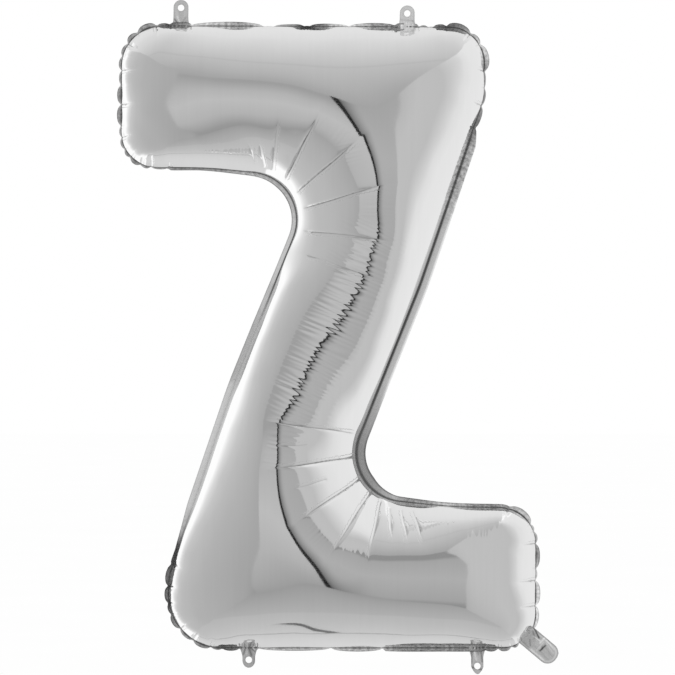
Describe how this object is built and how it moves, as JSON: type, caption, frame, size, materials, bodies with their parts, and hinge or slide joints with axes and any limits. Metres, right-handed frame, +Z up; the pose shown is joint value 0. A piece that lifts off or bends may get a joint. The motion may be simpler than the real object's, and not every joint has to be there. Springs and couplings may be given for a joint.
{
  "type": "letter foil balloon",
  "caption": "Inflated foil balloon in the shape of a block letter Z, with a gathered seal flange, hanging tabs and an inflation tail.",
  "frame": {"origin": "middle of the letter on its seal plane, where the film meets front and back", "axes": "+Z up the letter, +X to the right of someone who reads it, -Y out of its front"},
  "size_m": [0.6388, 0.2216, 0.9727],
  "materials": {
    "silver_foil": "metallised film, mirror-like with fine wrinkles",
    "valve_film": "milky polythene film"
  },
  "bodies": {
    "root": {"film_front": "silver_foil", "film_back": "silver_foil", "seal_flange": "silver_foil", "tab_top_left": "silver_foil", "tab_top_right": "silver_foil", "tab_bottom_left": "silver_foil", "tab_bottom_right": "silver_foil", "tail_front": "silver_foil", "tail_back": "silver_foil", "valve_sleeve": "valve_film"}
  },
  "joints": []
}
